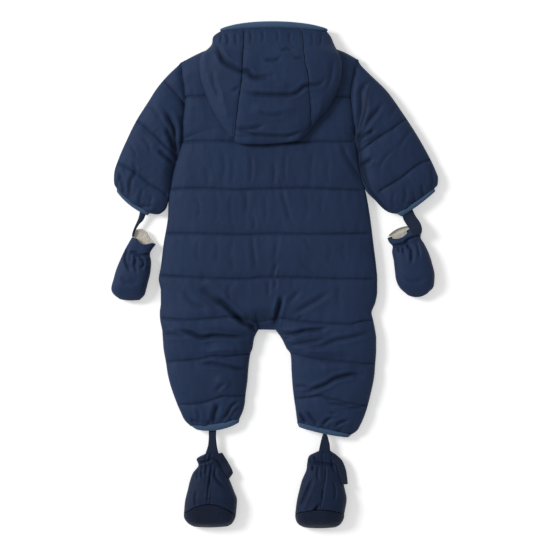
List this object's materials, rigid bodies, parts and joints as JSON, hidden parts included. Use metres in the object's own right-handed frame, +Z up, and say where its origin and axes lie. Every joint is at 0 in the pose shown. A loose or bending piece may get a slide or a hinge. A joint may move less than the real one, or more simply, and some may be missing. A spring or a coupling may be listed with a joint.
{
  "type": "padded baby snowsuit with hood, mittens and booties",
  "caption": "Quilted padded baby snowsuit laid face down, its hood thrown back, with mittens and booties tied to the cuffs and hems by straps.",
  "frame": {"origin": "on the floor the suit lies on, under the middle of its outline", "axes": "+Z up off the floor, +Y from the feet to the head, +X to the wearer's right side (the suit lies on its front)"},
  "size_m": [0.5233, 0.8113, 0.052],
  "materials": {
    "navy_shell": "padded woven polyester with a soft sheen",
    "blue_binding": "ribbed elastic binding, matt",
    "cream_fleece": "short fleece, matt",
    "dark_sole": "coarse woven cloth, matt",
    "navy_tape": "flat woven tape, matt",
    "dark_zip": "moulded, matt"
  },
  "bodies": {
    "suit": {"back": "navy_shell", "front_left": "navy_shell", "front_right": "navy_shell", "sleeve_left": "navy_shell", "sleeve_right": "navy_shell", "cuff_binding_left": "blue_binding", "cuff_binding_right": "blue_binding", "hem_binding_left": "blue_binding", "hem_binding_right": "blue_binding", "zip_chain": "navy_tape", "zip_slider": "dark_zip", "hood_centre": "navy_shell", "hood_side_left": "navy_shell", "hood_side_right": "navy_shell", "collar_left": "navy_shell", "collar_right": "navy_shell", "hood_binding": "blue_binding", "mitten_left": "navy_shell", "mitten_right": "navy_shell", "mitten_lip_left": "cream_fleece", "mitten_lip_right": "cream_fleece", "mitten_strap_left": "navy_tape", "mitten_strap_right": "navy_tape", "bootie_left_inner": "navy_shell", "bootie_left_outer": "navy_shell", "bootie_left_sole": "dark_sole", "bootie_right_inner": "navy_shell", "bootie_right_outer": "navy_shell", "bootie_right_sole": "dark_sole", "bootie_strap_left": "navy_tape", "bootie_strap_right": "navy_tape", "bootie_tab_left": "navy_tape", "bootie_tab_right": "navy_tape"},
    "pull": {"zip_pull": "dark_zip"}
  },
  "joints": [
    {"name": "pull_swing", "type": "hinge", "parent": "suit", "child": "pull", "pos_m": [-0.007, 0.366, 0.00165], "axis": [1, 0, 0], "range_deg": [0, 150]}
  ]
}
